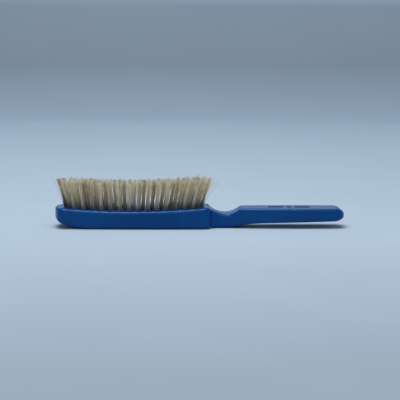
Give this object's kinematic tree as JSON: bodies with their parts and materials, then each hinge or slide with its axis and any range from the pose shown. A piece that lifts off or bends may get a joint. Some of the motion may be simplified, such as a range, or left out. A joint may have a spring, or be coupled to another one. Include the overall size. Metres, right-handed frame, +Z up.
{
  "type": "hairbrush",
  "caption": "Hairbrush: moulded blue plastic body with a long dished head, thumb scoop and flat handle, set with fanned rows of pale bristle tufts.",
  "frame": {"origin": "bottom centre of the brush as it lies on its back, bristles up", "axes": "+X along the brush from the tip of the head to the end of the handle, +Z up, out of the bristle face"},
  "size_m": [0.22, 0.03, 0.039],
  "materials": {
    "body_plastic": "glossy moulded blue plastic, lightly worn",
    "bristle": "straw-coloured filaments, paler at the tips",
    "anchor_wire": "flat drawn wire"
  },
  "bodies": {
    "root": {"brush_body": "body_plastic", "tuft_row_1": "bristle", "tuft_row_2": "bristle", "tuft_row_3": "bristle", "tuft_row_4": "bristle", "tuft_row_5": "bristle", "anchor_row_1": "anchor_wire", "anchor_row_2": "anchor_wire", "anchor_row_3": "anchor_wire", "anchor_row_4": "anchor_wire", "anchor_row_5": "anchor_wire"}
  },
  "joints": []
}
